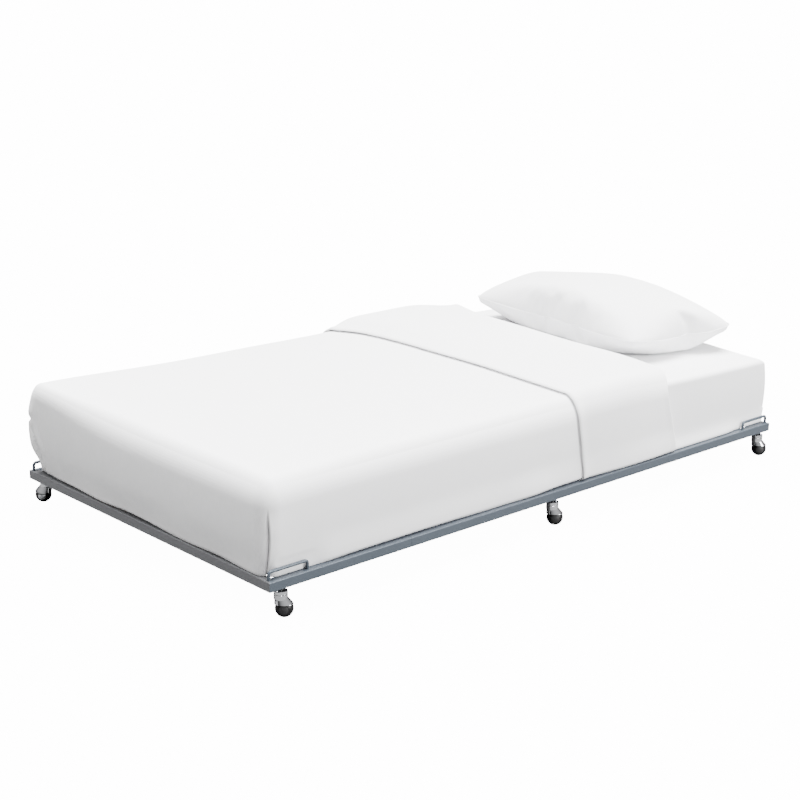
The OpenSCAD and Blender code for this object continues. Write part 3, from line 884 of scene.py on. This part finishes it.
class BED_OT_stage(bpy.types.Operator):
    """Set the pale floor, the soft light and the camera"""
    bl_idname = "bed.stage"
    bl_label = "Stage"

    def execute(self, context):
        stage = context.scene.bed_stage
        # a floor that glows white to the eye, and bounces only a little light onto the bed
        material, tree, place, shader = start_material("studio_floor_backlit")
        fleck = add(tree, "ShaderNodeTexNoise", {"Vector": place, "Scale": 3.0})
        tone = add(tree, "ShaderNodeMixRGB", {
            "Fac": fleck.outputs["Fac"], "Color1": linear("#606060"), "Color2": linear("#646464")})
        shader.inputs["Roughness"].default_value = 0.9
        shader.inputs["Emission Color"].default_value = linear("#FFFFFF")
        seen = add(tree, "ShaderNodeLightPath").outputs["Is Camera Ray"]
        glow = add(tree, "ShaderNodeMath", {0: seen, 1: stage.floor_glow}, operation="MULTIPLY")
        link(tree, shader, Base_Color=tone.outputs["Color"], Emission_Strength=glow.outputs[0])
        r = 60.0
        ring = [(-r, -r, 0), (r, -r, 0), (r, r, 0), (-r, r, 0)]
        floor = mesh_object("studio_floor", ring, [[0, 1, 2, 3]], material)

        # a room that is bright overhead and dim low down, and white to the eye
        world = bpy.data.worlds.new("studio_white")
        world.use_nodes = True
        world.node_tree.nodes.clear()
        up = add(world.node_tree, "ShaderNodeSeparateXYZ", {
            "Vector": add(world.node_tree, "ShaderNodeTexCoord").outputs["Generated"]}).outputs["Z"]
        rise = add(world.node_tree, "ShaderNodeMapRange", {
            "Value": up, "From Min": 0.1, "From Max": 0.8, "To Min": 0.08, "To Max": stage.fill})
        eye = add(world.node_tree, "ShaderNodeLightPath").outputs["Is Camera Ray"]
        shine = add(world.node_tree, "ShaderNodeMath", {
            0: eye, 1: stage.floor_glow, 2: rise.outputs["Result"]}, operation="MULTIPLY_ADD")
        ground = add(world.node_tree, "ShaderNodeBackground", {
            "Color": linear("#FFFFFF"), "Strength": shine.outputs[0]})
        add(world.node_tree, "ShaderNodeOutputWorld", {"Surface": ground.outputs["Background"]})
        context.scene.world = world

        # one broad soft key overhead, that leans to the head and the far side, and a card at the near side
        key = bpy.data.lights.new("soft_key", "SUN")
        key.energy = stage.key
        key.angle = math.radians(40)
        sun = bpy.data.objects.new("soft_key", key)
        sun.rotation_euler = (stage.key_tilt, stage.key_lean, 0)
        context.collection.objects.link(sun)
        studio_card("card_side", (1.3, -3.7, 1.4), (0.0, -0.5, 0.1), (2.2, 1.3), 230)

        camera = bpy.data.objects.new("camera", bpy.data.cameras.new("camera"))
        camera.data.sensor_width = 36
        camera.data.lens = stage.lens
        turn, dip, roll = stage.camera_turn, stage.camera_dip, stage.camera_roll
        ahead = Vector((math.cos(dip) * math.cos(turn), math.cos(dip) * math.sin(turn), -math.sin(dip)))
        right = ahead.cross(Vector((0, 0, 1))).normalized()
        up = right.cross(ahead)
        level = (right * math.cos(roll) + up * math.sin(roll), up * math.cos(roll) - right * math.sin(roll))
        camera.matrix_world = Matrix.Translation(stage.camera_place) @ Matrix(
            (level[0], level[1], -ahead)).transposed().to_4x4()
        context.collection.objects.link(camera)
        context.scene.camera = camera
        return {"FINISHED"}


# ---- add-on ----

class BED_PT_panel(bpy.types.Panel):
    """The bed's settings and operators"""
    bl_idname = "BED_PT_panel"
    bl_label = "Trundle Bed"
    bl_space_type = "VIEW_3D"
    bl_region_type = "UI"
    bl_category = "Trundle Bed"

    def draw(self, context):
        for group in (context.scene.bed, context.scene.bed_finish, context.scene.bed_stage):
            for name in group.__annotations__:
                self.layout.prop(group, name)
        for operator in OPERATORS:
            self.layout.operator(operator.bl_idname)


OPERATORS = (BED_OT_frame, BED_OT_casters, BED_OT_mattress, BED_OT_fitted_sheet, BED_OT_duvet,
             BED_OT_pillow, BED_OT_stage)
CLASSES = (BedSettings, FinishSettings, StageSettings) + OPERATORS + (BED_PT_panel,)


def register():
    for kind in CLASSES:
        bpy.utils.register_class(kind)
    bpy.types.Scene.bed = bpy.props.PointerProperty(type=BedSettings)
    bpy.types.Scene.bed_finish = bpy.props.PointerProperty(type=FinishSettings)
    bpy.types.Scene.bed_stage = bpy.props.PointerProperty(type=StageSettings)


def unregister():
    del bpy.types.Scene.bed_stage
    del bpy.types.Scene.bed_finish
    del bpy.types.Scene.bed
    for kind in reversed(CLASSES):
        bpy.utils.unregister_class(kind)


def main():
    register()
    bpy.ops.bed.frame()
    bpy.ops.bed.casters()
    bpy.ops.bed.mattress()
    bpy.ops.bed.fitted_sheet()
    bpy.ops.bed.duvet()
    bpy.ops.bed.pillow()
    bpy.ops.bed.stage()


if __name__ == "__main__":
    main()
